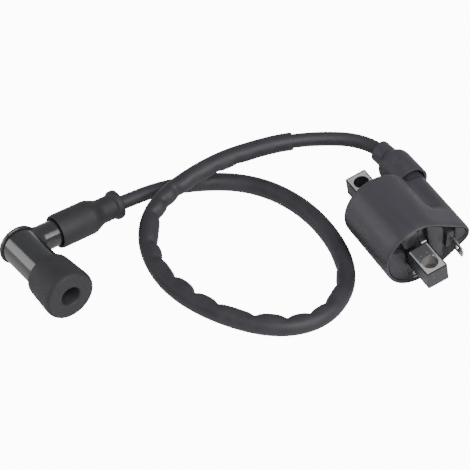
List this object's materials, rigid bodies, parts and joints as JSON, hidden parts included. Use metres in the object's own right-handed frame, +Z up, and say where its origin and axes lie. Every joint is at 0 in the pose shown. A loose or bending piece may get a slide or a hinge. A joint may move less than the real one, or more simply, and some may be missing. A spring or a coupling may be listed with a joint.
{
  "type": "ignition coil",
  "caption": "Round epoxy-filled ignition coil with laminated core ears, spade terminal, sleeved high-tension lead and elbow spark-plug cap.",
  "frame": {"origin": "middle of the bottom of the coil's own box, lead and cap left out", "axes": "+X along the core towards the open end with the terminal; +Y from the can to the high-tension tower; +Z up from the surface the part lies on"},
  "size_m": [0.1287, 0.1968, 0.035],
  "materials": {
    "moulded_black": "satin",
    "bobbin_plastic": "satin",
    "potting_resin": "satin",
    "core_steel": "brushed",
    "copper_wire": "enamelled",
    "tinned_terminal": "bright",
    "brass": "satin",
    "spring_steel": "bright",
    "boot_rubber": "matt",
    "lead_rubber": "satin",
    "sleeve_pvc": "semi-gloss",
    "cap_phenolic": "gloss",
    "resistor_ceramic": "satin"
  },
  "bodies": {
    "coil": {"coil_housing": "moulded_black", "core_laminations": "core_steel", "primary_bobbin": "bobbin_plastic", "primary_winding": "copper_wire", "secondary_bobbin": "bobbin_plastic", "secondary_winding": "copper_wire", "potting_compound": "potting_resin", "terminal_base": "moulded_black", "primary_terminal": "tinned_terminal", "earth_strip": "tinned_terminal", "tower_contact": "brass", "tower_boot": "boot_rubber", "ht_wire": "copper_wire", "primary_start_wire": "copper_wire", "primary_earth_wire": "copper_wire", "ht_lead": "lead_rubber", "lead_strand": "copper_wire", "lead_sleeve": "sleeve_pvc"},
    "cap": {"cap_body": "cap_phenolic", "cap_lead_arm": "cap_phenolic", "cap_cover": "cap_phenolic", "cap_cable_boot": "boot_rubber", "cap_plug_boot": "boot_rubber", "cable_screw": "brass", "contact_plate": "brass", "barrel_spring": "spring_steel", "resistor": "resistor_ceramic", "resistor_caps": "tinned_terminal", "plug_socket": "brass", "socket_clip": "spring_steel"}
  },
  "joints": [
    {"name": "cap_turn", "type": "hinge", "parent": "coil", "child": "cap", "pos_m": [-0.0776, -0.1612, 0.01045], "axis": [0.1483, -0.9876, 0.0523], "continuous": true}
  ]
}
